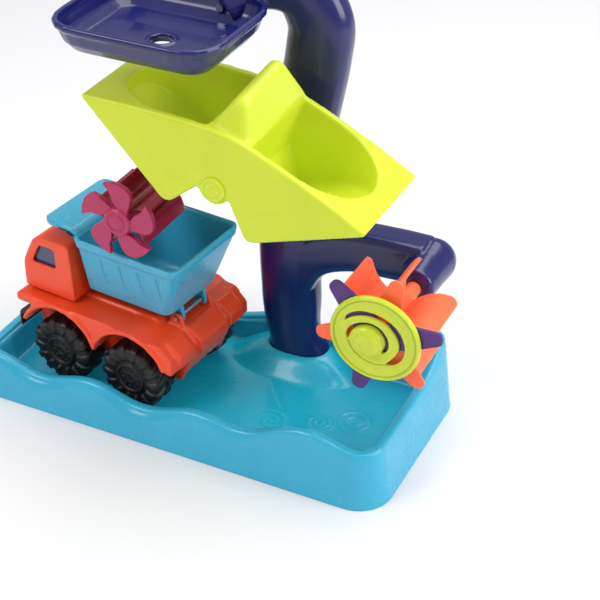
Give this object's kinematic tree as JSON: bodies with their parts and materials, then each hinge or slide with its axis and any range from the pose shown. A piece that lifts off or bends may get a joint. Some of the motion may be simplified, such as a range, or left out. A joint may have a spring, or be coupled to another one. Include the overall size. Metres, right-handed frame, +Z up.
{
  "type": "sand and water table",
  "caption": "Children's sand and water table: wavy-rimmed basin, tower with a tipping bucket, a hopper and turning water wheels, and a dump truck parked in the basin.",
  "frame": {"origin": "on the ground, at the middle of the foot pad under the basin", "axes": "+X along the basin towards the spiral wheel; -Y towards the child at the basin's front; +Z up"},
  "size_m": [0.5378, 0.232, 0.4937],
  "materials": {
    "basin": "moulded glossy turquoise polypropylene",
    "tower": "moulded glossy navy polypropylene",
    "bucket": "moulded lime polypropylene",
    "orange_parts": "moulded orange polypropylene",
    "petals": "moulded purple polypropylene",
    "mill": "moulded magenta polypropylene",
    "bed": "moulded sky blue polypropylene",
    "tyres": "matt black-brown moulded plastic",
    "glazing": "dark moulded plastic",
    "steel": "zinc-plated steel"
  },
  "bodies": {
    "base": {"tray": "basin", "tower_front_shell": "tower", "tower_rear_shell": "tower", "tower_screw_1": "steel", "tower_screw_2": "steel", "tower_screw_3": "steel", "tower_screw_4": "steel", "tower_screw_5": "steel", "bucket_pivot_pin": "steel", "hopper": "tower", "hopper_screw": "steel"},
    "bucket": {"tipping_bucket": "bucket", "bucket_pivot_cap": "bucket"},
    "spinner": {"spiral_disc": "bucket", "petal_star": "petals", "paddle_wheel": "orange_parts", "spinner_shaft": "steel"},
    "mill": {"mill_star": "mill", "mill_roller": "mill", "mill_shaft": "steel"},
    "truck": {"truck_chassis": "orange_parts", "truck_cab": "orange_parts", "truck_windows": "glazing", "truck_front_bumper": "tyres", "truck_headlamp_left": "bucket", "truck_headlamp_right": "bucket", "bed_hinge_pin": "steel"},
    "dump_bed": {"truck_bed": "bed"},
    "rear_wheels": {"truck_axle_rear": "steel", "truck_wheel_rear_left": "tyres", "truck_wheel_rear_right": "tyres"},
    "front_wheels": {"truck_axle_front": "steel", "truck_wheel_front_left": "tyres", "truck_wheel_front_right": "tyres"}
  },
  "joints": [
    {"name": "bucket_rock", "type": "hinge", "parent": "base", "child": "bucket", "pos_m": [0.058, 0, 0.316], "axis": [0, -1, 0], "range_deg": [0, 29.2]},
    {"name": "spinner_turn", "type": "hinge", "parent": "base", "child": "spinner", "pos_m": [0.22, 0, 0.1815], "axis": [0, 1, 0], "continuous": true},
    {"name": "mill_turn", "type": "hinge", "parent": "base", "child": "mill", "pos_m": [-0.058, 0, 0.246], "axis": [0, 1, 0], "continuous": true},
    {"name": "truck_drive", "type": "slide", "parent": "base", "child": "truck", "axis": [-0.9945, 0.1045, 0], "range_m": [0, 0.025]},
    {"name": "rear_wheels_roll", "type": "hinge", "parent": "truck", "child": "rear_wheels", "pos_m": [-0.049, -0.008, 0.0518], "axis": [-0.1045, -0.9945, 0], "range_deg": [0, 37.1]},
    {"name": "front_wheels_roll", "type": "hinge", "parent": "truck", "child": "front_wheels", "pos_m": [-0.14348, 0.00193, 0.0518], "axis": [-0.1045, -0.9945, 0], "range_deg": [0, 37.1]},
    {"name": "bed_tip", "type": "hinge", "parent": "truck", "child": "dump_bed", "pos_m": [-0.01717, -0.01134, 0.1148], "axis": [0.1045, 0.9945, 0], "range_deg": [0, 10]}
  ],
  "couplings": [
    {"joint": "rear_wheels_roll", "follows": "truck_drive", "rad_per_m": 25.641},
    {"joint": "front_wheels_roll", "follows": "truck_drive", "rad_per_m": 25.641}
  ]
}
